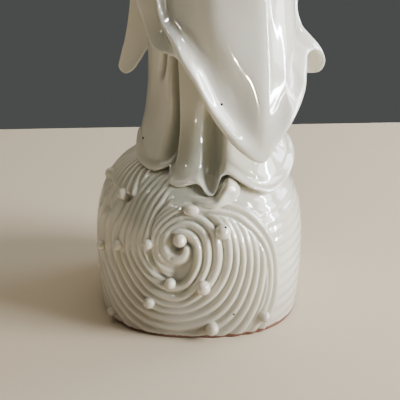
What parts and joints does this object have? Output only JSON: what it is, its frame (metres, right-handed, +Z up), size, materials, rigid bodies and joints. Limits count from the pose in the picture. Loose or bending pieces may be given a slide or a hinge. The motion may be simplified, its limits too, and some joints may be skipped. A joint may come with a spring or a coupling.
{
  "type": "porcelain guanyin figure",
  "caption": "White glazed porcelain figure of Guanyin in a hooded robe with hanging sleeves, standing on a domed rock of curling waves with foam pearls",
  "frame": {"origin": "the middle of the flat foot, on the surface that the figure stands on", "axes": "+Z up through the figure; the figure faces -Y, its left hand side is +X"},
  "size_m": [0.1117, 0.1034, 0.38],
  "materials": {
    "glaze": "clear gloss over ivory white porcelain, pooled cool grey in the carving"
  },
  "bodies": {
    "root": {"guanyin_figure": "glaze"}
  },
  "joints": []
}
